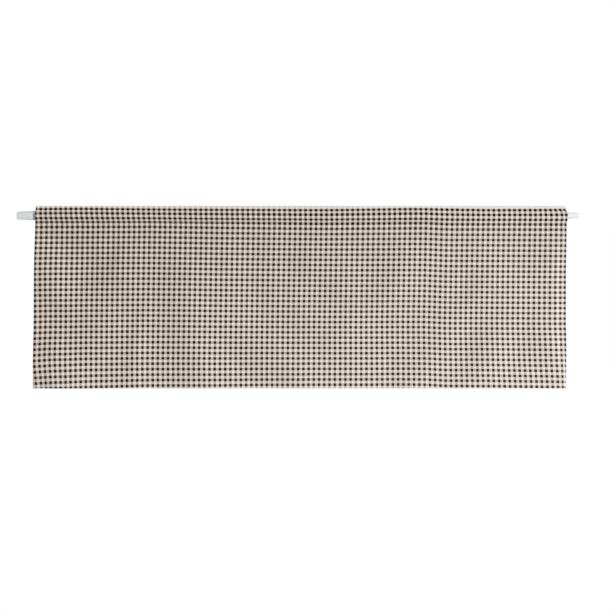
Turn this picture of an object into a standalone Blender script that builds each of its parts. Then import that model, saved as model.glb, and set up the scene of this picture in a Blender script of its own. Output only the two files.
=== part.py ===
# Window valance of checked cotton, hanging by its rod pocket on a telescopic tension rod.
# Metres. The origin is the centre of the rod's left end face, +X runs along the rod to the right
# as seen from the room, +Y points away from the viewer, to the window, and +Z points up.
import math

import bmesh
import bpy
import numpy as np

# The rod
ROD_LENGTH = 1.372
OUTER_TUBE_DIAMETER = 0.0222
INNER_TUBE_DIAMETER = 0.0159
TUBE_WALL = 0.0006
OUTER_TUBE_MOUTH = 0.984  # X of the outer tube's open end
MOUTH_SWAGE = 0.006  # length over which that end is drawn in to the inner tube
TUBE_OVERLAP = 0.250  # length of inner tube inside the outer one
GAP = 0.0003  # between pieces that touch
CLOTH_SLACK = 0.0005  # between a tube and the cloth that rests on it
ROUND_STEPS = 32

# The end caps, each a tapered plug with a flat foot
LEFT_CAP_LENGTH = 0.0402
LEFT_FOOT_DIAMETER = 0.0190
RIGHT_CAP_LENGTH = 0.0280
RIGHT_FOOT_DIAMETER = 0.0112
CAP_SHANK = 0.020  # length of the part inside the tube
FOOT_ROUNDING = 0.0012
CAP_LIP = 0.0004  # how far a cap's wide end stands out past its tube
CAP_GROOVE_AT = 0.014  # from the foot to the middle of the ring groove
CAP_GROOVE_WIDTH = 0.0010
CAP_GROOVE_DEPTH = 0.0005

# The cloth, one sheet from the pocket's back layer over the top fold and down to the turned-up hem.
# The pocket's section is a pressed fold that stands above the rod, two flanks that lean out and
# ride on the tube, and a seam that draws the layers together below it.
CLOTH_THICKNESS = 0.0010
LAYER_GAP = 0.0005  # between the faces of two layers sewn together
FOLD_TOP = 0.0234
FOLD_PUFF = 0.0009  # how much wider the top fold is at the right end
NECK_LEFT = 0.0209  # height at which the two layers part below the fold
NECK_RIGHT = 0.0180
NECK_FILLET = 0.0015
SEAM_FILLET = 0.0018
SEAM_DROP_LEFT = 0.0173  # from the rod's axis down to the pocket seam
SEAM_DROP_RIGHT = 0.0203
SEAM_ALLOWANCE = 0.0035  # back layer below the seam
RIGHT_POCKET_RADIUS = 0.0102  # the cloth stands rounder than the thin tube
FLANK_LEAN = 0.53  # radians from upright to a flank where it rides on the thin tube
HEM_BOTTOM = -0.4220
HEM_DEPTH = 0.0254

# Where the side edges run: X at the fold, on both layers beside the rod, below the pocket's seam,
# and at the hem
LEFT_EDGE = {"fold": 0.0462, "front": 0.0457, "back": 0.0452, "seam": 0.0447, "hem": 0.0392}
RIGHT_EDGE = {"fold": 1.3397, "front": 1.3432, "back": 1.3442, "seam": 1.3418, "hem": 1.3410}
MOUTH_HEIGHTS = {"top": 0.0145, "full": 0.0085, "bottom": -0.0160}  # of the pocket's open mouth
MOUTH_REACH = 0.060  # how far in from an edge the mouth pushes the cloth sideways

# Soft folds of the panel. A positive depth is a ridge towards the viewer.
# x: its middle at mid-height, width: its half width, slant: sideways run for each metre down,
# top and bottom: the heights between which it fades in and out
FOLD_COLUMNS = ("x", "width", "depth", "slant", "top", "bottom")
FOLDS = [
    (0.050, 0.070, 0.0064, 0.30, -0.260, -0.510),
    (0.105, 0.075, 0.0052, 0.65, -0.020, -0.260),
    (0.135, 0.080, -0.0042, -0.55, -0.050, -0.240),
    (0.205, 0.065, -0.0044, 0.70, -0.020, -0.140),
    (0.230, 0.070, 0.0024, -0.40, -0.040, -0.500),
    (0.400, 0.060, 0.0014, 0.15, -0.020, -0.450),
    (0.425, 0.090, 0.0048, 0.10, -0.090, -0.510),
    (0.550, 0.095, 0.0054, 0.70, -0.270, -0.530),
    (0.585, 0.055, -0.0026, 0.10, -0.020, -0.320),
    (0.655, 0.045, -0.0016, -0.05, -0.020, -0.520),
    (0.790, 0.080, 0.0024, 0.05, -0.050, -0.490),
    (0.920, 0.080, 0.0052, -0.25, -0.040, -0.250),
    (1.095, 0.065, -0.0024, 0.05, -0.040, -0.490),
    (1.115, 0.070, 0.0028, -0.70, -0.150, -0.490),
    (1.200, 0.070, 0.0052, -0.40, -0.250, -0.500),
    (1.255, 0.075, 0.0064, 0.55, -0.250, -0.490),
    (1.270, 0.095, -0.0044, 0.35, -0.020, -0.220),
]
FOLD_REACH = 0.070  # height over which a fold fades in or out
MID_HEIGHT = -0.200
RIGHT_EDGE_CURL = 0.0040  # how far the right edge turns back at the hem
LEFT_EDGE_CURL = 0.0025
CURL_WIDTH = 0.028

# Divisions of the cloth's grid
COLUMNS_ACROSS = 36
MOUTH_COLUMNS = (-0.030, -0.012, 0.004, 0.022, 0.045)  # extra ones, from the outer tube's end
EDGE_COLUMNS = (0.006, 0.014)  # extra ones, in from each side edge
POCKET_ARC_STEPS = 6
SMALL_ARC_STEPS = 2
PANEL_STEPS = 13

outer_radius = OUTER_TUBE_DIAMETER / 2
inner_radius = INNER_TUBE_DIAMETER / 2
half_spacing = (CLOTH_THICKNESS + LAYER_GAP) / 2  # from the middle of two layers to either one


def smooth_step(low, high, value):
    """0 at low, 1 at high, and a smooth rise between."""
    t = min(max((value - low) / (high - low), 0.0), 1.0)
    return t * t * (3 - 2 * t)


def mix(a, b, share):
    return a + (b - a) * share


def plain_material(name, colour, roughness, metallic=0.0):
    material = bpy.data.materials.new(name)
    material.use_nodes = True
    shader = material.node_tree.nodes["Principled BSDF"]
    shader.inputs["Base Color"].default_value = (*colour, 1.0)
    shader.inputs["Roughness"].default_value = roughness
    shader.inputs["Metallic"].default_value = metallic
    material.diffuse_color = (*colour, 1.0)
    return material


def add_object(name, mesh, material, collection):
    mesh.materials.append(material)
    made = bpy.data.objects.new(name, mesh)
    collection.objects.link(made)
    return made


def turned(name, profile, closed, material, collection):
    """A piece turned about its own Z axis from (radius, height) points that run down its outer side."""
    shape = bmesh.new()
    points = [shape.verts.new((radius, 0.0, height)) for radius, height in profile]
    for first, second in zip(points, points[1:]):
        shape.edges.new((first, second))
    if closed:
        shape.edges.new((points[-1], points[0]))
    mesh = bpy.data.meshes.new(name)
    shape.to_mesh(mesh)
    shape.free()
    made = add_object(name, mesh, material, collection)
    screw = made.modifiers.new("Turn", "SCREW")
    screw.angle = math.tau
    screw.steps = screw.render_steps = ROUND_STEPS
    screw.use_merge_vertices = True
    screw.merge_threshold = 0.00005
    screw.use_smooth_shade = True
    return made


def lay_along_rod(made, x, towards_right=True):
    """Turns the piece's own Z axis onto the rod's, pointing right or left, with its zero at x."""
    made.location = (x, 0.0, 0.0)
    made.rotation_euler = (0.0, math.pi / 2 if towards_right else -math.pi / 2, 0.0)


def outer_tube(material, collection):
    """The wide tube, open at both ends, its mouth drawn in to carry the inner tube."""
    length = OUTER_TUBE_MOUTH - LEFT_CAP_LENGTH - GAP
    bore = outer_radius - TUBE_WALL
    throat = inner_radius + GAP
    lip = throat + TUBE_WALL
    profile = [
        (throat, length),
        (lip, length),
        (mix(lip, outer_radius, 0.7), length - MOUTH_SWAGE * 0.35),
        (outer_radius, length - MOUTH_SWAGE),
        (outer_radius, 0.0),
        (bore, 0.0),
        (bore, length - MOUTH_SWAGE - TUBE_WALL),
        (mix(throat, bore, 0.7), length - MOUTH_SWAGE * 0.45 - TUBE_WALL),
        (throat, length - TUBE_WALL * 1.5),
    ]
    made = turned("rod_outer_tube", profile, True, material, collection)
    lay_along_rod(made, LEFT_CAP_LENGTH + GAP)


def inner_tube(material, collection):
    """The thin tube that slides in the wide one."""
    start = OUTER_TUBE_MOUTH - TUBE_OVERLAP
    length = ROD_LENGTH - RIGHT_CAP_LENGTH - GAP - start
    bore = inner_radius - TUBE_WALL
    profile = [(bore, length), (inner_radius, length), (inner_radius, 0.0), (bore, 0.0)]
    made = turned("rod_inner_tube", profile, True, material, collection)
    lay_along_rod(made, start)


def end_cap(name, foot_diameter, length, tube_radius, material, collection):
    """A tapered cap: flat foot at zero, ring groove, shoulder at the tube's end, shank in its bore."""
    foot = foot_diameter / 2
    shank = tube_radius - TUBE_WALL - GAP
    lip = tube_radius + CAP_LIP

    def side(height):
        return mix(foot, lip, height / length)

    groove_low = CAP_GROOVE_AT - CAP_GROOVE_WIDTH / 2
    groove_high = CAP_GROOVE_AT + CAP_GROOVE_WIDTH / 2
    profile = [
        (0.0, length + CAP_SHANK),
        (shank - FOOT_ROUNDING, length + CAP_SHANK),
        (shank, length + CAP_SHANK - FOOT_ROUNDING),
        (shank, length),
        (lip, length),
        (side(groove_high), groove_high),
        (side(CAP_GROOVE_AT) - CAP_GROOVE_DEPTH, CAP_GROOVE_AT),
        (side(groove_low), groove_low),
    ]
    for step in range(4):
        angle = step / 3 * math.pi / 2
        profile.append(
            (
                side(FOOT_ROUNDING) - FOOT_ROUNDING * (1 - math.cos(angle)),
                FOOT_ROUNDING * (1 - math.sin(angle)),
            )
        )
    profile.append((0.0, 0.0))
    return turned(name, profile, False, material, collection)


def arc(centre_y, centre_z, radius, start, end, steps):
    """Points of an arc in the YZ plane, without its first one."""
    angles = [mix(start, end, (step + 1) / steps) for step in range(steps)]
    return [(centre_y + radius * math.cos(a), centre_z + radius * math.sin(a)) for a in angles]


def line_between(away, height, small, centre, radius):
    """The pocket circle's bearing to a small circle outside it, and the turn from there to where
    a straight line that crosses between the two circles touches the pocket's one."""
    distance = math.hypot(away, height - centre)
    bearing = math.atan2(height - centre, -away) % math.tau
    return bearing, math.acos((radius + small) / distance)


def pocket_half(x):
    """The cloth's middle line at x from the top fold down the front to the pocket seam."""
    past_mouth = smooth_step(OUTER_TUBE_MOUTH + 0.006, OUTER_TUBE_MOUTH + 0.080, x)
    towards_right = smooth_step(0.3, 1.2, x)
    hang = CLOTH_SLACK + CLOTH_THICKNESS / 2
    touch = mix(outer_radius, inner_radius, past_mouth) + hang
    radius = mix(outer_radius + hang, RIGHT_POCKET_RADIUS, past_mouth)
    centre = (touch - radius) / math.sin(FLANK_LEAN)
    seam = -mix(SEAM_DROP_LEFT, SEAM_DROP_RIGHT, past_mouth)
    neck = mix(NECK_LEFT, NECK_RIGHT, towards_right)
    fold = half_spacing + FOLD_PUFF * towards_right
    top = FOLD_TOP - fold - CLOTH_THICKNESS / 2
    points = [(0.0, top + fold)]
    points += arc(0.0, top, fold, math.pi / 2, math.pi, SMALL_ARC_STEPS)
    points.append((-fold, neck))

    # Out past a small circle at the neck, and down the flank to the pocket's circle
    away = fold + NECK_FILLET
    bearing, turn = line_between(away, neck, NECK_FILLET, centre, radius)
    arrive = bearing + turn
    points += arc(-away, neck, NECK_FILLET, 0.0, arrive - math.pi, SMALL_ARC_STEPS)
    points.append((radius * math.cos(arrive), centre + radius * math.sin(arrive)))

    # Round the rod, then straight to the small circle that ends at the seam
    away = half_spacing + SEAM_FILLET
    bearing, turn = line_between(away, seam, SEAM_FILLET, centre, radius)
    leave = bearing - turn
    points += arc(0.0, centre, radius, arrive, leave, POCKET_ARC_STEPS)
    turn = leave - math.pi
    points.append((-away + SEAM_FILLET * math.cos(turn), seam + SEAM_FILLET * math.sin(turn)))
    points += arc(-away, seam, SEAM_FILLET, turn, 0.0, SMALL_ARC_STEPS)
    return points


def fold_depth(x, z):
    """How far the panel stands towards the viewer at x and z."""
    depth = 0.0
    for row in FOLDS:
        fold = dict(zip(FOLD_COLUMNS, row))
        middle = fold["x"] + fold["slant"] * (MID_HEIGHT - z)
        fade = smooth_step(fold["top"], fold["top"] - FOLD_REACH, z)
        fade *= smooth_step(fold["bottom"], fold["bottom"] + FOLD_REACH, z)
        depth += fold["depth"] * fade * math.exp(-(((x - middle) / fold["width"]) ** 2) * 2.0)
    lower = smooth_step(-0.03, -0.20, z)
    from_right = RIGHT_EDGE["hem"] - x
    depth -= RIGHT_EDGE_CURL * lower * smooth_step(CURL_WIDTH, 0.0, from_right)
    from_left = x - LEFT_EDGE["hem"]
    return depth + LEFT_EDGE_CURL * lower * smooth_step(CURL_WIDTH, 0.0, from_left)


def edge_at(edge, z):
    """X of a side edge at height z, as if the pocket's mouth were as wide as the cloth below it."""
    top = MOUTH_HEIGHTS["bottom"]
    fallen = min(max((top - z) / (top - HEM_BOTTOM), 0.0), 1.0)
    return mix(edge["seam"], edge["hem"], 1.0 - (1.0 - fallen) ** 1.5)


def mouth_push(edge, z, on_back):
    """How far the pocket's mouth stands to the right of that edge at height z."""
    top, full, bottom = (MOUTH_HEIGHTS[key] for key in ("top", "full", "bottom"))
    beside = edge["back" if on_back else "front"]
    x = mix(edge["fold"], beside, smooth_step(top, full, z))
    return (x - edge["seam"]) * smooth_step(bottom, bottom + top - full, z)


def cloth_x(share, z, on_back):
    """X of the cloth at a share of its width: even between the edges, but for the mouth's push."""
    left, right = LEFT_EDGE, RIGHT_EDGE
    width = right["seam"] - left["seam"]
    near_left = smooth_step(MOUTH_REACH, 0.0, share * width)
    near_right = smooth_step(MOUTH_REACH, 0.0, (1.0 - share) * width)
    x = mix(edge_at(left, z), edge_at(right, z), share)
    x += near_left * mouth_push(left, z, on_back)
    return x + near_right * mouth_push(right, z, on_back)


def cloth_line(share, nominal_x):
    """The cloth's middle line from the back flap to the hem's upper edge, as points in space."""
    half = pocket_half(nominal_x)
    seam = half[-1][1]
    back = [(half_spacing, seam - SEAM_ALLOWANCE)] + [(-y, z) for y, z in reversed(half[1:])]
    fold_middle = HEM_BOTTOM + CLOTH_THICKNESS / 2 + half_spacing
    panel = [
        (-half_spacing, mix(seam, fold_middle, (step + 1) / PANEL_STEPS))
        for step in range(PANEL_STEPS)
    ]
    hem = arc(0.0, fold_middle, half_spacing, math.pi, math.tau, 2 * SMALL_ARC_STEPS)
    hem += [(half_spacing, fold_middle + HEM_DEPTH * part) for part in (0.35, 0.7, 1.0)]

    line = []
    for number, (y, z) in enumerate(back + half + panel + hem):
        x = cloth_x(share, z, number < len(back))
        line.append((x, y - fold_depth(x, z), z))
    return line


def cloth_columns():
    """Where the grid's columns lie, as shares of the width."""
    left, right = LEFT_EDGE["seam"], RIGHT_EDGE["seam"]
    places = set(np.linspace(0.0, 1.0, COLUMNS_ACROSS + 1))
    crowded = [OUTER_TUBE_MOUTH + offset for offset in MOUTH_COLUMNS]
    crowded += [left + offset for offset in EDGE_COLUMNS]
    crowded += [right - offset for offset in EDGE_COLUMNS]
    shares = [(x - left) / (right - left) for x in crowded]
    near = 0.4 / COLUMNS_ACROSS
    kept = [p for p in places if p in (0.0, 1.0) or all(abs(p - s) > near for s in shares)]
    return sorted(kept + shares)


def valance_cloth(material, collection):
    """The whole valance: a flat grid laid over the rod, then thickened."""
    shares = cloth_columns()
    left, right = LEFT_EDGE["seam"], RIGHT_EDGE["seam"]
    lines = [cloth_line(share, mix(left, right, share)) for share in shares]
    across, down = len(lines) - 1, len(lines[0]) - 1
    shape = bmesh.new()
    bmesh.ops.create_grid(shape, x_segments=across, y_segments=down, size=1.0)
    for vertex in shape.verts:
        column = round((vertex.co.x + 1) / 2 * across)
        row = round((vertex.co.y + 1) / 2 * down)
        vertex.co = lines[column][row]
    mesh = bpy.data.meshes.new("valance_cloth")
    shape.to_mesh(mesh)
    shape.free()
    mesh.shade_smooth()
    made = add_object("valance_cloth", mesh, material, collection)
    thicken = made.modifiers.new("Thickness", "SOLIDIFY")
    thicken.thickness = CLOTH_THICKNESS
    thicken.offset = 0.0
    thicken.use_even_offset = True


def build():
    for old in list(bpy.data.objects):
        bpy.data.objects.remove(old, do_unlink=True)
    collection = bpy.data.collections.new("window_valance")
    bpy.context.scene.collection.children.link(collection)
    cotton = plain_material("checked_cotton", (0.44, 0.39, 0.35), 0.85)
    nickel = plain_material("satin_nickel", (0.42, 0.41, 0.37), 0.38, metallic=1.0)
    plastic = plain_material("pale_grey_plastic", (0.66, 0.69, 0.73), 0.5)
    valance_cloth(cotton, collection)
    outer_tube(nickel, collection)
    inner_tube(nickel, collection)
    left_cap = end_cap(
        "rod_cap_left", LEFT_FOOT_DIAMETER, LEFT_CAP_LENGTH, outer_radius, plastic, collection
    )
    lay_along_rod(left_cap, 0.0)
    right_cap = end_cap(
        "rod_cap_right", RIGHT_FOOT_DIAMETER, RIGHT_CAP_LENGTH, inner_radius, plastic, collection
    )
    lay_along_rod(right_cap, ROD_LENGTH, towards_right=False)


build()
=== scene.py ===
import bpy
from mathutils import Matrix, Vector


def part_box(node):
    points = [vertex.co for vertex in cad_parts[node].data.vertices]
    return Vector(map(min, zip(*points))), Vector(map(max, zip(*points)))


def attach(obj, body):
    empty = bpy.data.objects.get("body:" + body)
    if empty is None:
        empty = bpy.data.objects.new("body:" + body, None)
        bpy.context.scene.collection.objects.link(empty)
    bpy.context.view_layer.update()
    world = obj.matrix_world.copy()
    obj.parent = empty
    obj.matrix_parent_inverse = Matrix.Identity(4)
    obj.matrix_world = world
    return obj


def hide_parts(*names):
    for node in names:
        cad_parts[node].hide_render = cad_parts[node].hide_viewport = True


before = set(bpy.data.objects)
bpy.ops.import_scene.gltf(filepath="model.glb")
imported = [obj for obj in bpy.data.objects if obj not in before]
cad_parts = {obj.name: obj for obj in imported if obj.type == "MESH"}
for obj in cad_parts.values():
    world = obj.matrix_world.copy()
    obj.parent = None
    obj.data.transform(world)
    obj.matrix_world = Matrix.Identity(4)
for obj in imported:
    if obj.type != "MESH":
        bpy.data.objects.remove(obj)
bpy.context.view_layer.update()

import math

import bpy
import numpy as np

# Metres, in the rod's frame: +X along the rod to the right, +Y away from the viewer, +Z up


def smoothStep(low, high, value):
    # 0 at low, 1 at high, and 3t^2 - 2t^3 between them
    t = np.clip((value - low) / (high - low), 0.0, 1.0)
    return t * t * (3.0 - 2.0 * t)


def mix(a, b, share):
    return a + (b - a) * share


def gentle(x, places, values, blur):
    # A curve through a short table: straight runs between its places, averaged over a blur on each
    # side with weights that fall off as a cosine
    steps = np.linspace(-1.0, 1.0, 9)
    weights = np.cos(steps * math.pi / 2 * 0.98)
    runs = [w * np.interp(x + blur * s, places, values) for s, w in zip(steps, weights)]
    return sum(runs) / weights.sum()


def ripples(x, seed, lengths, count):
    # A sum of sine waves of chance length and phase, scaled to stay near 1
    chance = np.random.default_rng(seed)
    total = 0.0
    for _ in range(count):
        length = chance.uniform(*lengths)
        total = total + np.sin(2 * math.pi * (x / length + chance.uniform()))
    return total / math.sqrt(count)


# The rod and the cloth, as packed
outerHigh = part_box("rod_outer_tube")[1]
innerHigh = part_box("rod_inner_tube")[1]
clothLow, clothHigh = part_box("valance_cloth")

cloth = {
    "thickness": 0.0003,
    "hang": 0.0010,  # from a tube's face to the middle of the cloth on it
    "foldHalf": 0.00085,  # half the width of the top fold at the left
    "foldPuff": 0.0008,  # how much wider it is at the right
    "puffSpan": (0.3, 1.2),  # X between which it widens and its neck sinks
    "neck": (0.0209, 0.0180),  # height at which the two layers part, left and right
    "neckFillet": 0.0015,
    "seamFillet": 0.0018,
    "seamDrop": (0.0173, 0.0203),  # from the rod's axis to the pocket seam, left and right
    "seamAllowance": 0.0035,
    "rightPocketRadius": 0.0102,
    "narrowing": (0.006, 0.080),  # past the wide tube's mouth: where the pocket narrows, from and to
    "flankLean": 0.53,  # radians from upright
    "hemDepth": 0.0254,
    "hemStitchUp": 0.0232,  # from the hem's fold to its stitches
    "seamHalf": (0.00050, 0.00080),  # half the spacing of two sewn layers, in the middle and at the sides
    "seamSpread": 0.012,  # width beside a side hem over which that spacing changes
    "turnUnder": 0.00038,  # from a layer to the edge that is turned under it
    "sideHem": 0.0120,
    "hemColumns": 5,  # columns of the mesh on a side hem, 3 mm apart
    "columns": 264,  # between the side hems, 4.8 mm apart
    "edgeRows": 4,  # rows of the mesh on the turned-under edges of the flap and the hem
}
# Where the side edges run: X at the fold, on both layers beside the rod, below the seam, at the hem
leftEdge = {"fold": 0.0462, "front": 0.0457, "back": 0.0452, "seam": 0.0447, "hem": 0.0392}
rightEdge = {"fold": 1.3397, "front": 1.3432, "back": 1.3442, "seam": 1.3418, "hem": 1.3410}
# Heights of the pocket's open mouth, and how far in from an edge it pushes the cloth sideways
mouthShape = {"top": 0.0145, "full": 0.0085, "bottom": -0.0160, "reach": 0.060}

# Soft folds: middle x at mid-height, half width, depth towards the viewer, sideways run for each
# metre down, and the heights between which the fold fades in and out. They aren't placed by hand:
# scratch programs fitted them to the photo's slow light and dark, as report.md says.
foldColumns = ("x", "width", "depth", "slant", "top", "bottom")
folds = [
    (0.050, 0.070, 0.0064, 0.30, -0.260, -0.510),
    (0.105, 0.075, 0.0052, 0.65, -0.020, -0.260),
    (0.135, 0.080, -0.0042, -0.55, -0.050, -0.240),
    (0.205, 0.065, -0.0044, 0.70, -0.020, -0.140),
    (0.230, 0.070, 0.0024, -0.40, -0.040, -0.500),
    (0.400, 0.060, 0.0014, 0.15, -0.020, -0.450),
    (0.425, 0.090, 0.0048, 0.10, -0.090, -0.510),
    (0.550, 0.095, 0.0054, 0.70, -0.270, -0.530),
    (0.585, 0.055, -0.0026, 0.10, -0.020, -0.320),
    (0.655, 0.045, -0.0016, -0.05, -0.020, -0.520),
    (0.790, 0.080, 0.0024, 0.05, -0.050, -0.490),
    (0.920, 0.080, 0.0052, -0.25, -0.040, -0.250),
    (1.095, 0.065, -0.0024, 0.05, -0.040, -0.490),
    (1.115, 0.070, 0.0028, -0.70, -0.150, -0.490),
    (1.200, 0.070, 0.0052, -0.40, -0.250, -0.500),
    (1.255, 0.075, 0.0064, 0.55, -0.250, -0.490),
    (1.270, 0.095, -0.0044, 0.35, -0.020, -0.220),
]
# Smaller creases, in the same columns and fitted in the same way
creases = [
    (0.030, 0.034, -0.0022, 0.10, -0.120, -0.390),
    (0.040, 0.035, 0.0042, 0.20, -0.340, -0.510),
    (0.070, 0.070, 0.0032, -0.05, -0.060, -0.240),
    (0.185, 0.068, 0.0040, -0.90, -0.290, -0.530),
    (0.200, 0.028, -0.0020, -0.25, -0.020, -0.150),
    (0.290, 0.060, 0.0016, 0.50, -0.020, -0.290),
    (0.300, 0.035, 0.0030, -0.05, -0.260, -0.510),
    (0.320, 0.024, 0.0012, -0.25, -0.150, -0.440),
    (0.415, 0.030, 0.0016, 0.25, -0.300, -0.470),
    (0.420, 0.044, -0.0017, 0.75, -0.280, -0.480),
    (0.655, 0.068, 0.0018, 0.90, -0.110, -0.340),
    (0.725, 0.046, 0.0033, 0.10, -0.050, -0.180),
    (0.755, 0.054, -0.0019, 0.50, -0.090, -0.250),
    (0.875, 0.054, 0.0015, -0.85, -0.160, -0.370),
    (0.915, 0.030, -0.0014, -0.05, -0.300, -0.520),
    (1.030, 0.044, 0.0013, -0.75, -0.020, -0.230),
    (1.125, 0.038, 0.0016, -0.40, -0.090, -0.250),
    (1.250, 0.036, -0.0011, -0.20, -0.140, -0.430),
    (1.295, 0.056, -0.0023, -0.75, -0.070, -0.270),
    (1.315, 0.022, 0.0020, 0.30, -0.200, -0.500),
    (1.330, 0.070, -0.0024, -0.15, -0.270, -0.490),
    (1.335, 0.030, -0.0030, -0.05, -0.040, -0.490),
]
relief = {
    "reach": 0.070,  # height over which a fold fades
    "midHeight": -0.200,
    "rightCurl": 0.0040,
    "leftCurl": 0.0025,
    "curlWidth": 0.028,
    "curlHeights": (-0.03, -0.20),  # between which the side edges' curl grows
    "cornerRoll": 0.0022,  # further roll of the last few millimetres near the hem's corners
    "cornerWidth": 0.009,
    "cornerHeights": (-0.30, -0.40),
    "seamPucker": 0.00022,
    "seamPuckerAt": (-0.030, 0.012),  # its middle height and its spread
    "seamWaves": (0.016, 0.030),  # its shortest and longest wave
    "seamSeed": 4,
    "hemPucker": 0.00028,
    "hemPuckerSpread": 0.014,
    "hemWaves": (0.018, 0.036),
    "hemSeed": 9,
    "hemWaveSlant": 0.2,  # sideways run of its waves for each metre up
    "waveCount": 5,
}

foldTop = clothHigh.z
hemBottom = clothLow.z
mouth = outerHigh.x


def arcRows(centreY, centreZ, radius, start, end, steps):
    # Points on an arc, one row a step and without the first: centre + radius * (cos, sin)
    share = np.arange(1, steps + 1)[:, None] / steps
    angle = start + (end - start) * share
    return centreY + radius * np.cos(angle), centreZ + radius * np.sin(angle)


def lineRows(startY, startZ, endY, endZ, shares):
    # Points on a straight run, one row a share of its length
    share = np.asarray(shares)[:, None]
    return mix(startY, endY, share), mix(startZ, endZ, share)


def even(steps):
    return np.arange(1, steps + 1) / steps


def seamHalf(x):
    # Half the spacing of sewn layers: thin in the middle, thick where the side hems lie between them
    fromSide = np.minimum(x - leftEdge["seam"], rightEdge["seam"] - x)
    middle, side = cloth["seamHalf"]
    hem = cloth["sideHem"]
    return mix(side, middle, smoothStep(hem, hem + cloth["seamSpread"], fromSide))


def pocketFront(x):
    # The section from the top fold down the front to the pocket seam: an arc over the fold, a short
    # neck, a small arc outwards, a straight flank, an arc of the pocket's circle, a straight run in,
    # and a small arc at the seam. Straight runs touch the circles that they join.
    start, end = cloth["narrowing"]
    pastMouth = smoothStep(mouth + start, mouth + end, x)
    towardsRight = smoothStep(*cloth["puffSpan"], x)
    touch = mix(outerHigh.z, innerHigh.z, pastMouth) + cloth["hang"]
    radius = mix(outerHigh.z + cloth["hang"], cloth["rightPocketRadius"], pastMouth)
    centre = (touch - radius) / math.sin(cloth["flankLean"])
    seam = -mix(*cloth["seamDrop"], pastMouth)
    neck = mix(*cloth["neck"], towardsRight)
    fold = cloth["foldHalf"] + cloth["foldPuff"] * towardsRight
    top = foldTop - fold - cloth["thickness"] / 2
    half = seamHalf(x)

    rows = [(np.zeros((1, len(x))), (top + fold)[None])]
    rows.append(arcRows(0.0, top, fold, math.pi / 2, math.pi, 4))
    rows.append(lineRows(-fold, top, -fold, neck, even(2)))
    fillet = cloth["neckFillet"]
    away = fold + fillet
    bearing = np.arctan2(neck - centre, -away) % (2 * math.pi)
    arrive = bearing + np.arccos((radius + fillet) / np.hypot(away, neck - centre))
    rows.append(arcRows(-away, neck, fillet, 0.0, arrive - math.pi, 3))
    arriveY, arriveZ = radius * np.cos(arrive), centre + radius * np.sin(arrive)
    rows.append(lineRows(rows[-1][0][-1], rows[-1][1][-1], arriveY, arriveZ, even(4)))

    fillet = cloth["seamFillet"]
    away = half + fillet
    bearing = np.arctan2(seam - centre, -away) % (2 * math.pi)
    leave = bearing - np.arccos((radius + fillet) / np.hypot(away, seam - centre))
    rows.append(arcRows(0.0, centre, radius, arrive, leave, 8))
    turn = leave - math.pi
    startY, startZ = -away + fillet * np.cos(turn), seam + fillet * np.sin(turn)
    rows.append(lineRows(rows[-1][0][-1], rows[-1][1][-1], startY, startZ, even(3)))
    rows.append(arcRows(-away, seam, fillet, turn, 0.0, 3))
    return np.concatenate([y for y, z in rows]), np.concatenate([z for y, z in rows])


def clothSection(x):
    # The whole section: back flap, pocket's back as a mirror of its front, front, panel, hem.
    # Returns y and z, a row for each point and a column for each x, and which rows are on the back.
    frontY, frontZ = pocketFront(x)
    half = seamHalf(x)
    seam = frontZ[-1]
    flap = lineRows(half, seam - cloth["seamAllowance"], half, seam, [0.0, 0.35, 0.7])
    foldMiddle = hemBottom + cloth["thickness"] / 2 + half
    # The panel's rows, closer together just below the seam
    shares = np.concatenate([np.linspace(0, 0.06, 8)[1:], np.linspace(0.06, 1.0, 78)[1:]])
    panel = lineRows(-half, seam, -half, foldMiddle, shares)
    hemArc = arcRows(0.0, foldMiddle, half, math.pi, 2 * math.pi, 6)
    up = cloth["hemStitchUp"] / cloth["hemDepth"]
    hem = lineRows(half, foldMiddle, half, foldMiddle + cloth["hemDepth"], [0.2, 0.4, 0.6, 0.78, up, 1.0])
    parts = [flap, (-frontY[:0:-1], frontZ[:0:-1]), (frontY, frontZ), panel, hemArc, hem]
    y = np.concatenate([part[0] for part in parts])
    z = np.concatenate([np.broadcast_to(part[1], part[0].shape) for part in parts])
    onBack = np.arange(len(y)) < len(flap[0]) + len(frontY) - 1
    return y, z, onBack


def edgeAt(edge, z):
    # X of a side edge with no flared mouth: from the seam's to the hem's, by 1 - (1 - t)^1.5
    top = mouthShape["bottom"]
    fallen = np.clip((top - z) / (top - hemBottom), 0.0, 1.0)
    return mix(edge["seam"], edge["hem"], 1.0 - (1.0 - fallen) ** 1.5)


def mouthPush(edge, z, onBack):
    # How far the pocket's mouth stands to the right of that edge, different on its two layers
    top, full, bottom = (mouthShape[key] for key in ("top", "full", "bottom"))
    beside = np.where(onBack[:, None], edge["back"], edge["front"])
    x = mix(edge["fold"], beside, smoothStep(top, full, z))
    return (x - edge["seam"]) * smoothStep(bottom, bottom + top - full, z)


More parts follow.
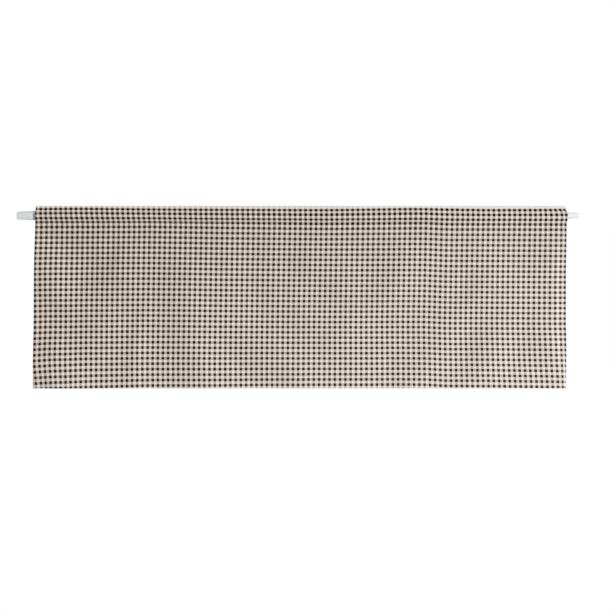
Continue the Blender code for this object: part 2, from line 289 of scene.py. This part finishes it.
def reliefAt(x, z):
    # How far the cloth stands towards the viewer: a bell curve for each soft fold, the curl of the
    # side edges, and fine puckers along the two rows of stitches
    depth = 0.0
    for row in folds + creases:
        fold = dict(zip(foldColumns, row))
        middle = fold["x"] + fold["slant"] * (relief["midHeight"] - z)
        fade = smoothStep(fold["top"], fold["top"] - relief["reach"], z)
        fade = fade * smoothStep(fold["bottom"], fold["bottom"] + relief["reach"], z)
        depth = depth + fold["depth"] * fade * np.exp(-(((x - middle) / fold["width"]) ** 2) * 2.0)
    lower = smoothStep(*relief["curlHeights"], z)
    corner = smoothStep(*relief["cornerHeights"], z)
    fromRight, fromLeft = rightEdge["hem"] - x, x - leftEdge["hem"]
    depth = depth - relief["rightCurl"] * lower * smoothStep(relief["curlWidth"], 0.0, fromRight)
    depth = depth + relief["leftCurl"] * lower * smoothStep(relief["curlWidth"], 0.0, fromLeft)
    width = relief["cornerWidth"]
    roll = smoothStep(width, 0.0, fromRight) + smoothStep(width, 0.0, fromLeft)
    depth = depth - relief["cornerRoll"] * corner * roll
    puckerMiddle, puckerSpread = relief["seamPuckerAt"]
    belowSeam = np.exp(-((z - puckerMiddle) / puckerSpread) ** 2)
    aboveHem = np.exp(-((z - hemBottom - cloth["hemStitchUp"]) / relief["hemPuckerSpread"]) ** 2)
    alongHem = x + relief["hemWaveSlant"] * z
    seamWave = ripples(x, relief["seamSeed"], relief["seamWaves"], relief["waveCount"])
    hemWave = ripples(alongHem, relief["hemSeed"], relief["hemWaves"], relief["waveCount"])
    depth = depth + relief["seamPucker"] * belowSeam * seamWave
    return depth + relief["hemPucker"] * aboveHem * hemWave


def clothBase(share):
    # The middle of the cloth, an array of rows, columns and xyz, for columns at shares of its width
    nominal = mix(leftEdge["seam"], rightEdge["seam"], share)
    y, z, onBack = clothSection(nominal)
    x = mix(edgeAt(leftEdge, z), edgeAt(rightEdge, z), share)
    for edge in (leftEdge, rightEdge):
        near = smoothStep(mouthShape["reach"], 0.0, np.abs(nominal - edge["seam"]))
        x = x + near * mouthPush(edge, z, onBack)
    return np.stack([x, y - reliefAt(x, z), z], axis=-1)


def unit(vectors):
    return vectors / np.linalg.norm(vectors, axis=-1, keepdims=True)


def clothFrame(share):
    # Points with their unit directions across and down the cloth and out of its wrong side
    step = 0.0004
    points = clothBase(share)
    across = unit(clothBase(share + step) - clothBase(share - step))
    down = unit(np.gradient(points, axis=0))
    wrongSide = unit(np.cross(across, down))
    return points, across, down, wrongSide


def pathDown(points):
    # Distance along each column from its first row
    steps = np.linalg.norm(np.diff(points[..., 1:], axis=0), axis=-1)
    return np.concatenate([np.zeros((1, points.shape[1])), np.cumsum(steps, axis=0)])


# How the check lies on the cloth. Its two tables are in mm: bow is how far a row of the check has
# sunk below its even place, and drift how far a column stands to the right of it. Their rows lie
# at distances down the cloth from the top fold, and their columns at places along X. Scratch
# programs fitted both to the places of the check's dark crossings in the photo.
weave = {
    "repeatAcross": 0.01270,
    "repeatDown": 0.01275,
    "yarns": 32,  # in one repeat
    "tuck": (0.0028, 0.014),
    "flatWidth": 1.300,  # between the folds of the side hems
    "lastColumn": 102.0,  # of the check, at the right edge
    "lastRow": 34.0,  # at the hem
    "blurDown": 0.02,  # how far the readings of both tables are softened
    "blurAcross": 0.03,
    "down": [0.0, 0.05, 0.17, 0.30, 0.39, 0.45],
    "bowX": [0.04, 0.16, 0.32, 0.50, 0.75, 0.97, 1.15, 1.35],
    "bow": [
        [9.5, 8.5, 11.0, 12.0, 12.5, 8.5, 12.0, 11.0],
        [8.5, 8.5, 8.0, 10.5, 13.5, 12.0, 12.0, 12.5],
        [9.0, 7.5, 6.5, 9.5, 12.0, 12.0, 12.5, 13.5],
        [11.5, 9.5, 7.5, 9.5, 11.0, 11.0, 11.5, 13.0],
        [17.5, 12.0, 10.0, 10.5, 10.5, 10.5, 11.0, 13.5],
        [22.5, 17.5, 13.0, 12.5, 11.0, 11.0, 12.0, 15.5],
    ],
    "driftX": [0.04, 0.16, 0.40, 0.75, 1.05, 1.25, 1.35],
    "drift": [
        [-0.5, -3.0, -2.0, 1.0, 4.0, 4.0, 2.0],
        [2.5, 2.0, 0.0, 1.5, 4.0, 4.0, 5.5],
        [2.0, 1.5, -0.5, 0.0, 2.0, 2.0, 4.5],
        [4.0, 1.5, -1.0, -1.5, 0.0, 1.0, 3.5],
        [3.0, 2.0, -2.0, -1.0, 2.0, 4.5, 8.0],
        [9.0, 2.0, -1.0, -1.5, 3.0, 9.0, 11.5],
    ],
}


def weaveShift(table, places, x, down):
    # Bilinear reading of a table in mm, softened in both directions
    total = 0.0
    for level, row in enumerate(table):
        hat = np.eye(len(table))[level]
        weight = gentle(down, weave["down"], hat, weave["blurDown"])
        total = total + weight * gentle(x, places, row, weave["blurAcross"])
    return total / 1000  # mm to metres


def weaveMap(x, flat, path):
    # Columns and rows of the check at each point: distance less drift or bow, over the repeat
    depth, width = weave["tuck"]
    drift = weaveShift(weave["drift"], weave["driftX"], x, path)
    drift = drift - depth * smoothStep(weave["flatWidth"] - width, weave["flatWidth"], flat)
    bow = weaveShift(weave["bow"], weave["bowX"], x, path)
    return (flat - drift) / weave["repeatAcross"], (path - bow) / weave["repeatDown"]


def meshFrom(name, points, faces):
    mesh = bpy.data.meshes.new(name)
    mesh.from_pydata(points.reshape(-1, 3), [], faces)
    mesh.shade_smooth()
    made = bpy.data.objects.new(name, mesh)
    bpy.context.scene.collection.objects.link(made)
    return made


def gridFaces(rows, columns):
    # Four-sided faces of a grid of vertices numbered row by row, pointing out of the cloth's right side
    corner = np.arange(rows - 1)[:, None] * columns + np.arange(columns - 1)
    faces = np.stack([corner, corner + columns, corner + columns + 1, corner + 1], axis=-1)
    return faces.reshape(-1, 4).tolist()


def addLoopMap(mesh, name, values):
    # A UV map from one pair of values for each vertex
    corners = np.empty(len(mesh.loops), np.int32)
    mesh.loops.foreach_get("vertex_index", corners)
    layer = mesh.uv_layers.new(name=name)
    layer.data.foreach_set("uv", values.reshape(-1, 2)[corners].astype(np.float32).ravel())


def foldedEdge(inner, atEdge):
    # The turned-under strip and its small round fold as (base index, lift, push) for each line of the
    # grid: strip lines lifted off the cloth, then a half circle beyond the edge back to lift zero
    lift = cloth["turnUnder"]
    strip = [(index, lift, 0.0) for index in inner]
    for angle in (math.pi / 4, 0.0, -math.pi / 4):
        strip.append((atEdge, lift / 2 * (1 + math.sin(angle)), lift / 2 * math.cos(angle)))
    return strip


def makeCloth():
    # Shares of the width where columns lie
    hem, hemColumns = cloth["sideHem"] / weave["flatWidth"], cloth["hemColumns"]
    across = np.concatenate([
        np.linspace(0.0, hem, hemColumns)[:-1],
        np.linspace(hem, 1 - hem, cloth["columns"]),
        np.linspace(1 - hem, 1.0, hemColumns)[1:],
    ])
    points, sideways, down, wrongSide = clothFrame(across)
    rows, columns = points.shape[:2]

    left = foldedEdge(range(hemColumns)[::-1], 0)
    right = [(columns - 1 - index, lift, push) for index, lift, push in left][::-1]
    columnPlan = left + [(index, 0.0, 0.0) for index in range(columns)] + right
    upper = foldedEdge(range(cloth["edgeRows"])[::-1], 0)
    lower = [(rows - 1 - index, lift, push) for index, lift, push in upper][::-1]
    rowPlan = upper + [(index, 0.0, 0.0) for index in range(rows)] + lower
    r, rowLift, rowPush = (np.array(part) for part in zip(*rowPlan))
    c, columnLift, columnPush = (np.array(part) for part in zip(*columnPlan))
    rowEnd = np.where(np.arange(len(r)) < len(r) // 2, -1.0, 1.0)
    columnEnd = np.where(np.arange(len(c)) < len(c) // 2, -1.0, 1.0)

    pick = np.ix_(r, c)
    lift = rowLift[:, None] + columnLift[None, :]
    sheet = points[pick] + wrongSide[pick] * lift[..., None]
    sheet += down[pick] * (rowPush * rowEnd)[:, None, None]
    sheet += sideways[pick] * (columnPush * columnEnd)[None, :, None]

    # Flat distances, which run on past the folds: across from the left fold, down from the top fold
    top = int(np.argmax(points[:, columns // 2, 2]))
    path = pathDown(points)
    path = path - path[top]
    fold = math.pi / 2 * cloth["turnUnder"]
    flatAcross = across[c] * weave["flatWidth"]
    edgeFlat = np.where(columnEnd > 0, weave["flatWidth"], 0.0)
    folded = columnLift > 0
    flatAcross = np.where(folded, 2 * edgeFlat - flatAcross + columnEnd * fold, flatAcross)
    flatDown = path[pick]
    edgePath = np.where(rowEnd[:, None] > 0, path[-1][c][None, :], path[0][c][None, :])
    flatDown = np.where(rowLift[:, None] > 0, 2 * edgePath - flatDown + rowEnd[:, None] * fold, flatDown)
    acrossChecks, downChecks = weaveMap(sheet[..., 0], flatAcross[None, :], flatDown)

    made = meshFrom("valance", sheet, gridFaces(len(r), len(c)))
    addLoopMap(made.data, "weave", np.stack([acrossChecks, downChecks], axis=-1))
    bakeAcross = np.linspace(0.002, 0.998, len(c))  # just inside the map's edges
    bakeDown = np.linspace(0.998, 0.002, len(r))
    addLoopMap(made.data, "OFBake", np.stack(np.meshgrid(bakeAcross, bakeDown), axis=-1))
    made.data.uv_layers.active = made.data.uv_layers["OFBake"]
    thicken = made.modifiers.new("Thickness", "SOLIDIFY")
    thicken.thickness = cloth["thickness"]
    thicken.offset = 0.0
    length = float(np.ptp(flatDown[:, len(c) // 2]))
    width = float(np.ptp(flatAcross))
    print("cloth:", len(r), "by", len(c), "points, cut", round(width, 3), "by", round(length, 3))
    return made, width, length


class Wire:
    # A socket of a material's nodes, with arithmetic. A wire with no socket only makes nodes.
    def __init__(self, tree, socket=None):
        self.tree = tree
        self.socket = socket

    def node(self, kind, settings=None, inputs=None, output=0):
        # Makes any node: its settings first, then the values or wires of its inputs
        made = self.tree.nodes.new(kind)
        for key, value in (settings or {}).items():
            setattr(made, key, value)
        for key, value in (inputs or {}).items():
            if isinstance(value, Wire):
                self.tree.links.new(value.socket, made.inputs[key])
            else:
                made.inputs[key].default_value = value
        return Wire(self.tree, made.outputs[output])

    def other(self, name):
        # Another output of the same node
        return Wire(self.tree, self.socket.node.outputs[name])

    def maths(self, operation, *values):
        # This number put through one Math operation, with more values or wires if it takes them
        return self.sums(operation, self, *values)

    def sums(self, operation, *values):
        return self.node("ShaderNodeMath", {"operation": operation}, dict(enumerate(values)))

    def noise(self, place, scale, detail):
        # A soft random pattern about 0.5, at the points that place gives
        return self.node("ShaderNodeTexNoise", None, {"Vector": place, "Scale": scale, "Detail": detail})

    def chance(self):
        # A chance number from 0 to 1 for each value of this wire
        return self.node("ShaderNodeTexWhiteNoise", {"noise_dimensions": "1D"}, {"W": self})

    def between(self, low, high):
        # 0 below low, 1 above high, straight between
        return self.node("ShaderNodeMapRange", None, {"Value": self, "From Min": low, "From Max": high})

    def tint(self, low, high):
        # The colour low where this wire is 0 and high where it is 1
        return self.node("ShaderNodeMix", {"data_type": "RGBA"}, {0: self, 6: low, 7: high}, 2)

    def shade(self, colour):
        # A colour times this number
        return self.node("ShaderNodeVectorMath", {"operation": "SCALE"}, {0: colour, "Scale": self})

    def __add__(self, other):
        return self.maths("ADD", other)

    def __radd__(self, other):
        return self.sums("ADD", other, self)

    def __sub__(self, other):
        return self.maths("SUBTRACT", other)

    def __rsub__(self, other):
        return self.sums("SUBTRACT", other, self)

    def __mul__(self, other):
        return self.maths("MULTIPLY", other)

    def __rmul__(self, other):
        return self.sums("MULTIPLY", other, self)


def newMaterial(name, roughness, **constants):
    # A material with its shader's constants set, and a bare wire to make its nodes with
    material = bpy.data.materials.new(name)
    material.use_nodes = True
    tree = material.node_tree
    shader = tree.nodes["Principled BSDF"]
    shader.inputs["Roughness"].default_value = roughness
    for key, value in constants.items():
        shader.inputs[key.replace("_", " ")].default_value = value
    return material, shader, Wire(tree)


def feed(shader, colour, height, distance, strength=1.0, roughness=None):
    # Leads the worked-out colour, relief and roughness into the shader
    links = colour.tree.links
    links.new(colour.socket, shader.inputs["Base Color"])
    inputs = {"Height": height, "Distance": distance, "Strength": strength}
    links.new(colour.node("ShaderNodeBump", None, inputs).socket, shader.inputs["Normal"])
    if roughness is not None:
        links.new(roughness.socket, shader.inputs["Roughness"])


cotton = {
    "cream": (0.806, 0.760, 0.714, 1.0),
    "half": (0.532, 0.440, 0.366, 1.0),  # where dark and cream yarns cross
    "dark": (0.022, 0.0080, 0.0025, 1.0),
    "paintedLitDark": (0.042, 0.0235, 0.0150, 1.0),  # the dark squares at the right edge, paler there by painted light
    "deep": (0.009, 0.0035, 0.0013, 1.0),  # the dark squares of the pocket, where no light comes through
    "pocketRows": (4.2, 3.4),  # rows of the check between which the pocket begins, from below
    # Painted shade: the pocket's half-tones are darker, where no light comes through
    "pocketShadeExponent": 0.85,
    "pocketWidth": 0.025,  # how much wider the dark bands look there
    "warpShare": 0.488,  # how much of a half-tone square's face is warp
    "yarnContrast": 0.26,  # how much over and under show in the half-tone squares
    "yarnStep": 2.5,  # how sharply over changes to under
    "stray": 0.5,  # how far a yarn strays from its line, in yarns
    "strayScale": 3.0,
    "yarnShade": 0.05,  # chance difference from yarn to yarn
    "weftNumbers": 5000.5,  # moves the weft's yarn numbers far from the warp's, for other chance values
    "dyeSpread": 0.8,  # the same among the dark yarns
    "paintedFurrowShade": 0.12,  # painted shade: how much darker the cloth is between its yarns
    "yarnHeight": 0.00009,
    "yarnBump": 0.7,
    "crown": (0.6, 0.4),  # a yarn's mean height, and how much it rises over and sinks under
    "cloudScale": 0.35,
    "cloudShade": 0.06,
    "paintedHalfToneLight": (0.74, 0.38, 0.36),  # painted light: the half-tones' exponent at the top left, and its gain right and down, which makes them paler there
    "paintedHalfToneLightFrom": 3.4,  # the row from which that painted light grows
    "foldAt": 0.85,  # repeats from row 0 of the check up to the top fold
    "foldReach": (0.60, 0.30),  # repeats from that fold at which its painted light begins and is full
    "foldPaintedLight": (0.35, 1.0),  # painted light: how far the dark yarns are paled along that fold, left and right
    # Painted light: the pale grey that the top fold's check turns to towards the right
    "wearAndPaintedLight": (0.74, 0.735, 0.73, 1.0),
    "hemPaintedLight": 0.06,  # painted light: how much paler the whole cloth is at the hem
    "hemPaintedLightFrom": 4.0,  # the row from which that painted light grows
    "doubled": 0.06,  # how much paler the pocket is, where no light is lost through the cloth
    "roughness": 0.88,
    "sheen": 0.03,
    "specular": 0.12,
}


def cottonMaterial():
    # Plain weave: bands of dark yarn half a repeat wide both ways. Where they cross, the yarn on top
    # changes from one yarn to the next, as the sign of sin(yarn across) * sin(yarn down).
    material, shader, start = newMaterial(
        "checked_cotton", cotton["roughness"],
        Sheen_Weight=cotton["sheen"], Specular_IOR_Level=cotton["specular"],
    )
    place = start.node("ShaderNodeUVMap", {"uv_map": "weave"})
    wobble = start.noise(place, cotton["strayScale"], 2.0)
    apart = start.node("ShaderNodeSeparateXYZ", None, {0: place})
    stray = start.node("ShaderNodeSeparateColor", None, {0: wobble.other("Color")})
    yarnCount = weave["yarns"]
    reach = cotton["stray"] / yarnCount
    across = apart + (stray - 0.5) * reach
    down = apart.other("Y") + (stray.other("Green") - 0.5) * reach

    inPocket = down.between(*cotton["pocketRows"])
    right = across.between(0.0, weave["lastColumn"])
    halfBand = 0.25 + inPocket * (cotton["pocketWidth"] / 2)  # half a dark band, in repeats

    def isDark(position):
        # 1 within half a band of a whole number
        return (position + halfBand).maths("FRACT").maths("LESS_THAN", halfBand * 2.0)

    darkWarp = isDark(across)
    darkWeft = isDark(down)
    acrossYarn = across * yarnCount
    downYarn = down * yarnCount
    waveAcross = (acrossYarn * math.pi).maths("SINE")
    waveDown = (downYarn * math.pi).maths("SINE")
    over = waveAcross * waveDown
    onTop = (over * cotton["yarnStep"]).between(-1.0, 1.0)
    share = cotton["warpShare"] + (onTop - 0.5) * (2 * cotton["yarnContrast"])
    # Painted light: the half-tones grow paler towards the right and towards the hem
    first, toRight, toHem = cotton["paintedHalfToneLight"]
    lowered = down.between(cotton["paintedHalfToneLightFrom"], weave["lastRow"])
    exponent = first + right * toRight + lowered * toHem
    # Painted shade: darker half-tones in the pocket
    exponent = exponent * (1.0 - inPocket * (1.0 - cotton["pocketShadeExponent"]))
    # Painted light along the top fold: its dark yarns paled, and towards the right a pale grey
    atLeft, atRight = cotton["foldPaintedLight"]
    nearFold = (down + cotton["foldAt"]).maths("ABSOLUTE").between(*cotton["foldReach"])
    wearAndPaintedLight = nearFold * (atLeft + right * (atRight - atLeft))
    darkness = (darkWeft + (darkWarp - darkWeft) * share).maths("POWER", exponent) * (1.0 - wearAndPaintedLight)

    # Relief: each yarn is round, and higher where it is on top
    roundAcross = waveAcross * waveAcross
    roundDown = waveDown * waveDown
    mean, rise = cotton["crown"]
    height = (roundAcross * (mean + rise * over)).maths("MAXIMUM", roundDown * (mean - rise * over))

    # Each yarn has its own shade and the cloth is faintly clouded; the furrows between yarns are darker as
    # painted shade
    warpShade = acrossYarn.maths("FLOOR").chance()
    weftShade = (downYarn.maths("FLOOR") + cotton["weftNumbers"]).chance()
    topShade = weftShade + (warpShade - weftShade) * onTop
    cloud = start.noise(place, cotton["cloudScale"], 3.0)
    tone = 1.0 + (warpShade + weftShade - 1.0) * cotton["yarnShade"]
    tone = tone + (cloud - 0.5) * cotton["cloudShade"] + inPocket * cotton["doubled"]
    # Painted light: paler towards the hem
    tone = tone + down.between(cotton["hemPaintedLightFrom"], weave["lastRow"]) * cotton["hemPaintedLight"]
    tone = tone + (height - 0.5) * cotton["paintedFurrowShade"]
    # The dark squares grow paler towards the right by painted light, and darker in the pocket by painted
    # shade
    dark = inPocket.tint(right.tint(cotton["dark"], cotton["paintedLitDark"]), cotton["deep"])
    dark = (1.0 + (topShade - 0.5) * cotton["dyeSpread"]).shade(dark)
    pale = (darkness * 2.0).tint(cotton["cream"], cotton["half"])
    deep = (darkness * 2.0 - 1.0).tint(cotton["half"], dark)
    checked = darkness.maths("GREATER_THAN", 0.5).tint(pale, deep)
    # The top fold's painted light turns it pale grey towards the right
    colour = tone.shade((wearAndPaintedLight * right).tint(checked, cotton["wearAndPaintedLight"]))

    feed(shader, colour, height, cotton["yarnHeight"], cotton["yarnBump"])
    return material


nickel = {
    "colour": (0.44, 0.43, 0.39, 1.0),
    "dull": (0.34, 0.33, 0.30, 1.0),
    "roughness": 0.30,
    "dullRoughness": 0.14,  # added where it is dull
    "dullFrom": (0.40, 0.65),  # the pattern's value where dulling begins and is full
    "lineScale": (8.0, 900.0, 900.0),  # of the drawn lines, along and across the tube
    "cloudScale": 45.0,
    "lineHeight": 0.00002,
    "lineBump": 0.5,
}


def nickelMaterial():
    # Satin plated steel: fine lines drawn along the tube, and soft duller clouds
    material, shader, start = newMaterial("rod_nickel", nickel["roughness"], Metallic=1.0)
    place = start.node("ShaderNodeTexCoord").other("Object")
    drawn = start.node("ShaderNodeMapping", None, {"Vector": place, "Scale": nickel["lineScale"]})
    lines = start.noise(drawn, 1.0, 3.0)
    cloud = start.noise(place, nickel["cloudScale"], 3.0)
    dulled = (0.6 * lines + 0.4 * cloud).between(*nickel["dullFrom"])
    colour = dulled.tint(nickel["colour"], nickel["dull"])
    roughness = nickel["roughness"] + dulled * nickel["dullRoughness"]
    feed(shader, colour, lines, nickel["lineHeight"], nickel["lineBump"], roughness)
    return material


plastic = {
    "colour": (0.82, 0.835, 0.86, 1.0),
    "wearAndPaintedLight": (0.75, 0.765, 0.79, 1.0),
    "roughness": 0.46,
    "wornRoughness": 0.12,  # added where it is worn
    "wornFrom": (0.45, 0.70),  # the clouds' value where wear begins and is full
    "cloudScale": 90.0,
    "grainScale": 2200.0,
    "grainHeight": 0.00002,
    "grainBump": 0.6,
}


def plasticMaterial():
    # Moulded plastic: a fine spark-eroded grain, a little dulled by handling
    material, shader, start = newMaterial("cap_plastic", plastic["roughness"])
    place = start.node("ShaderNodeTexCoord").other("Object")
    grain = start.noise(place, plastic["grainScale"], 2.0)
    handled = start.noise(place, plastic["cloudScale"], 3.0).between(*plastic["wornFrom"])
    colour = handled.tint(plastic["colour"], plastic["wearAndPaintedLight"])
    roughness = plastic["roughness"] + handled * plastic["wornRoughness"]
    feed(shader, colour, grain, plastic["grainHeight"], plastic["grainBump"], roughness)
    return material


thread = {
    "colour": (0.70, 0.63, 0.54, 1.0),
    # Painted shade in the grooves between the plies
    "groove": (0.58, 0.52, 0.44, 1.0),
    "roughness": 0.7,
    "sheen": 0.2,
    "twistScale": 700.0,
    "twistHeight": 0.00004,
    "length": 0.0026,
    "pitch": 0.0030,
    "radius": 0.00014,
    "sides": 5,
    "rings": (-0.5, -0.30, 0.0, 0.30, 0.5),  # along a stitch
    "sink": 0.00030,  # how deep its ends dive into the cloth
    "inset": 0.002,  # from a side hem's inner edge to its stitches
}


def threadMaterial():
    # Spun thread: two plies that twist round each other, as stripes across the stitch, with painted shade in
    # the grooves between them
    material, shader, start = newMaterial("sewing_thread", thread["roughness"], Sheen_Weight=thread["sheen"])
    place = start.node("ShaderNodeTexCoord").other("Object")
    inputs = {"Vector": place, "Scale": thread["twistScale"]}
    twist = start.node("ShaderNodeTexWave", {"bands_direction": "DIAGONAL"}, inputs).other("Fac")
    feed(shader, twist.tint(thread["groove"], thread["colour"]), twist, thread["twistHeight"])
    return material


def makeStitches(name, points, along, outward):
    # One small tube for each stitch: a circle in the plane of outward and the cross direction, carried
    # along the stitch, narrower and sunk into the cloth towards both ends. Its ends close on a point.
    spots = np.array(thread["rings"])
    sideways = unit(np.cross(along, outward))
    taper = np.sqrt(np.clip(1.0 - np.abs(2 * spots) ** 3, 0.0, 1.0))
    dive = thread["radius"] * 0.5 - thread["sink"] * np.abs(2 * spots) ** 3
    angle = np.arange(thread["sides"]) / thread["sides"] * 2 * math.pi
    middle = points[:, None] + along[:, None] * (spots * thread["length"])[None, :, None]
    middle = middle + outward[:, None] * dive[None, :, None]
    around = angle[:, None, None, None]
    ring = np.cos(around) * outward[:, None] + np.sin(around) * sideways[:, None]
    shell = middle[None] + ring * (thread["radius"] * taper)[None, None, :, None]
    shell = np.transpose(shell, (1, 2, 0, 3))  # stitch, ring, side, xyz
    count, rings, sides = shell.shape[:3]
    tips = middle[:, [0, -1]]
    inner = shell[:, 1:-1]
    each = (rings - 2) * sides + 2
    vertices = np.concatenate([inner.reshape(count, -1, 3), tips], axis=1)
    nearRing = np.arange(rings - 3)[:, None] * sides
    farRing = nearRing + sides
    sideIndex = np.arange(sides)
    following = (sideIndex + 1) % sides
    quads = np.stack(
        [nearRing + sideIndex, nearRing + following, farRing + following, farRing + sideIndex], axis=-1,
    ).reshape(-1, 4)
    first, last = each - 2, each - 1
    start = (rings - 3) * sides
    capOne = np.stack([np.full(sides, first), following, sideIndex], axis=-1)
    capTwo = np.stack([np.full(sides, last), start + sideIndex, start + following], axis=-1)
    base = (np.arange(count) * each)[:, None, None]
    faces = (base + quads[None]).reshape(-1, 4).tolist()
    faces += (base + capOne[None]).reshape(-1, 3).tolist()
    faces += (base + capTwo[None]).reshape(-1, 3).tolist()
    return meshFrom(name, vertices, faces)


def seamStitches(name, frontRow, backRow):
    # Stitches along the width, on the outer face of the front layer and of the back one
    count = int(weave["flatWidth"] / thread["pitch"])
    share = (np.arange(count) + 0.5) / count
    points, across, _, wrongSide = clothFrame(share)
    outside = cloth["thickness"] / 2
    parts = []
    for row in (frontRow, backRow):
        face = -wrongSide[row]
        parts.append((points[row] + face * outside, across[row], face))
    return makeStitches(name, *(np.concatenate(part) for part in zip(*parts)))


def sideStitches(name, share):
    # Stitches down a side hem, on the front and, over the strip, on the wrong side
    points, _, down, wrongSide = clothFrame(np.array([share]))
    path = pathDown(points)[:, 0]
    places = np.arange(path[0] + thread["pitch"], path[-1] - thread["pitch"], thread["pitch"])

    def along(values):
        return np.stack([np.interp(places, path, values[:, 0, k]) for k in range(3)], axis=-1)

    middle, normal, direction = along(points), unit(along(wrongSide)), unit(along(down))
    outside = cloth["thickness"] / 2
    under = cloth["turnUnder"] + outside
    return makeStitches(
        name,
        np.concatenate([middle - normal * outside, middle + normal * under]),
        np.concatenate([direction, direction]),
        np.concatenate([-normal, normal]),
    )


def makeThreads():
    # The base rows that the seams follow, found from the section at mid-width
    section = clothBase(np.array([0.5]))[:, 0]
    lowest = int(np.argmin(section[:, 2]))
    top = int(np.argmax(section[:, 2]))
    seamHeight = -cloth["seamDrop"][0]
    stitchHeight = hemBottom + cloth["hemStitchUp"]

    def nearest(height, first, last):
        return first + int(np.argmin(np.abs(section[first:last, 2] - height)))

    seamFront, seamBack = nearest(seamHeight, top, lowest), nearest(seamHeight, 0, top)
    hemFront, hemBack = nearest(stitchHeight, top, lowest), nearest(stitchHeight, lowest, len(section))
    hemShare = (cloth["sideHem"] - thread["inset"]) / weave["flatWidth"]
    made = [
        seamStitches("pocket_seam_thread", seamFront, seamBack),
        seamStitches("hem_thread", hemFront, hemBack),
        sideStitches("side_hem_thread_left", hemShare),
        sideStitches("side_hem_thread_right", 1 - hemShare),
    ]
    print("threads:", sum(len(piece.data.polygons) for piece in made), "faces")
    return made


valance, cutWidth, cutLength = makeCloth()
valance.data.materials.append(cottonMaterial())
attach(valance, "root")
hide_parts("valance_cloth")
threads = makeThreads()
threadLook = threadMaterial()
for piece in threads:
    piece.data.materials.append(threadLook)
    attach(piece, "root")

looks = {"rod_outer_tube": nickelMaterial(), "rod_cap_left": plasticMaterial()}
looks["rod_inner_tube"] = looks["rod_outer_tube"]
looks["rod_cap_right"] = looks["rod_cap_left"]
for name, look in looks.items():
    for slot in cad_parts[name].material_slots:
        slot.material = look
print("rod finished")

studio = {
    "key": (6.6, -2.9, -0.7),
    "keySize": 4.0,
    "keyPower": 350.0,
    "top": (0.3, -1.2, 2.2),
    "topSize": 1.8,
    "topPower": 7.0,
    "ambient": 0.565,
    "floorDrop": 1.6,
    "floorRadius": 1.6,
    "floorSides": 96,
    "floorColour": (0.8, 0.8, 0.8, 1.0),
    "floorRoughness": 0.8,
    "distance": 5.0,
    "fieldWidth": 1.4945,  # metres that the frame's width takes in at the cloth
    "middle": (0.7056, -0.2208),
}


def addLight(name, place, size, power, target):
    # A square soft light whose -Z axis points from its place to the target
    light = bpy.data.lights.new(name, "AREA")
    light.size = size
    light.energy = power
    lamp = bpy.data.objects.new(name, light)
    lamp.location = place
    away = np.array(target) - np.array(place)
    lamp.rotation_euler = (
        math.pi / 2 + math.atan2(away[2], math.hypot(away[0], away[1])),
        0.0,
        math.atan2(away[1], away[0]) - math.pi / 2,
    )
    bpy.context.scene.collection.objects.link(lamp)


def makeStudio():
    # A round pale floor below, a large soft light at the right, a weak one above, and an even pale
    # surrounding
    sides, radius = studio["floorSides"], studio["floorRadius"]
    ring = np.linspace(0, 2 * math.pi, sides + 1)[:-1]
    x, z = studio["middle"]
    disc = np.stack(
        [x + radius * np.cos(ring), radius * np.sin(ring), np.full(sides, -studio["floorDrop"])], axis=-1,
    )
    floor = meshFrom("floor", disc, [list(range(sides))])
    material = newMaterial("pale_floor", studio["floorRoughness"], Base_Color=studio["floorColour"])[0]
    floor.data.materials.append(material)
    addLight("key", studio["key"], studio["keySize"], studio["keyPower"], (x, 0.0, z))
    addLight("top", studio["top"], studio["topSize"], studio["topPower"], (x, 0.0, z))

    world = bpy.data.worlds.new("studio")
    bpy.context.scene.world = world
    world.use_nodes = True
    start = Wire(world.node_tree)
    seen = start.node("ShaderNodeLightPath").other("Is Camera Ray")
    background = world.node_tree.nodes["Background"]
    strength = studio["ambient"] + seen * (1.0 - studio["ambient"])
    world.node_tree.links.new(strength.socket, background.inputs["Strength"])
    background.inputs["Color"].default_value = (1.0, 1.0, 1.0, 1.0)

    bpy.context.scene.view_settings.view_transform = "Standard"
    camera = bpy.data.cameras.new("camera")
    camera.sensor_width = 36.0
    camera.lens = camera.sensor_width * studio["distance"] / studio["fieldWidth"]
    viewer = bpy.data.objects.new("camera", camera)
    viewer.location = (x, -studio["distance"], z)
    viewer.rotation_euler = (math.pi / 2, 0.0, 0.0)
    bpy.context.scene.collection.objects.link(viewer)
    bpy.context.scene.camera = viewer


makeStudio()
print("studio ready")
